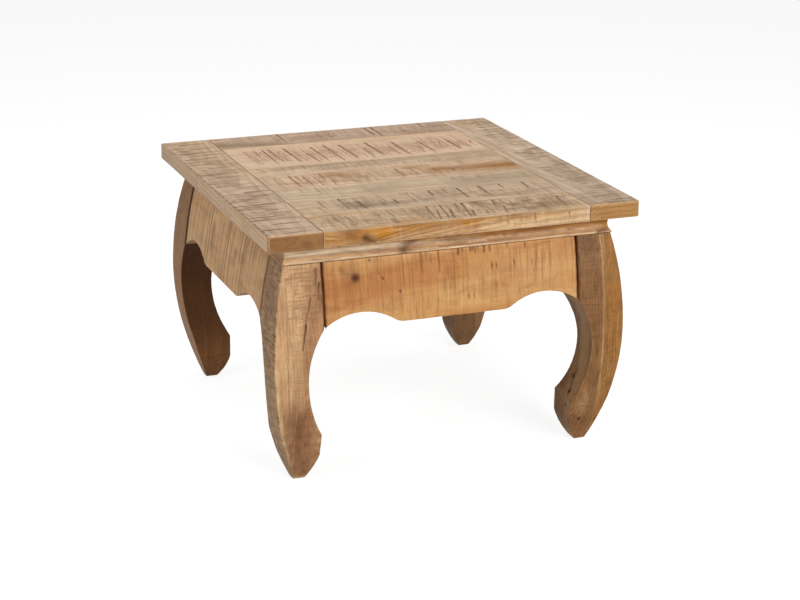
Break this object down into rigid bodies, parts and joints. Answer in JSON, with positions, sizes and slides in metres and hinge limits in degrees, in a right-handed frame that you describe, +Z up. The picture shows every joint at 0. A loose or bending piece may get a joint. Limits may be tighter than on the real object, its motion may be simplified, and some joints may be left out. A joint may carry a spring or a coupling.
{
  "type": "coffee table",
  "caption": "Low square solid-wood coffee table with a boarded top, hollow moulding, scalloped belly aprons and inward-curving legs, to set things down on",
  "frame": {"origin": "on the floor, under the middle of the top", "axes": "+X to the right along the front edge, +Y from the front edge to the back, +Z up; the front is the side seen most in the picture"},
  "size_m": [0.6, 0.6, 0.405],
  "materials": {
    "wood_legs": "oiled satin, golden brown, with brown grain and saw marks",
    "wood_aprons": "oiled satin, orange tan, with fine upright saw marks",
    "wood_mouldings": "oiled satin, light orange brown",
    "wood_end_boards": "waxed satin, pinkish beige brown",
    "wood_field_boards": "waxed satin, pale greyish beige with dark brown strokes",
    "wood_inner": "bare sawn wood",
    "screw_steel": "zinc-plated steel, dull"
  },
  "bodies": {
    "root": {"leg_front_left_outer": "wood_legs", "leg_front_left_inner": "wood_legs", "leg_front_right_outer": "wood_legs", "leg_front_right_inner": "wood_legs", "leg_back_left_outer": "wood_legs", "leg_back_left_inner": "wood_legs", "leg_back_right_outer": "wood_legs", "leg_back_right_inner": "wood_legs", "apron_front": "wood_aprons", "apron_right": "wood_aprons", "apron_back": "wood_aprons", "apron_left": "wood_aprons", "moulding_front": "wood_mouldings", "moulding_right": "wood_mouldings", "moulding_back": "wood_mouldings", "moulding_left": "wood_mouldings", "end_board_left": "wood_end_boards", "end_board_right": "wood_end_boards", "field_board_1": "wood_field_boards", "field_board_2": "wood_field_boards", "field_board_3": "wood_field_boards", "field_board_4": "wood_field_boards", "field_board_5": "wood_field_boards", "field_board_6": "wood_field_boards", "field_board_7": "wood_field_boards", "corner_block_front_left": "wood_inner", "corner_block_front_right": "wood_inner", "corner_block_back_left": "wood_inner", "corner_block_back_right": "wood_inner", "moulding_dowels": "wood_inner", "top_screws": "screw_steel", "corner_block_screws": "screw_steel"}
  },
  "joints": []
}
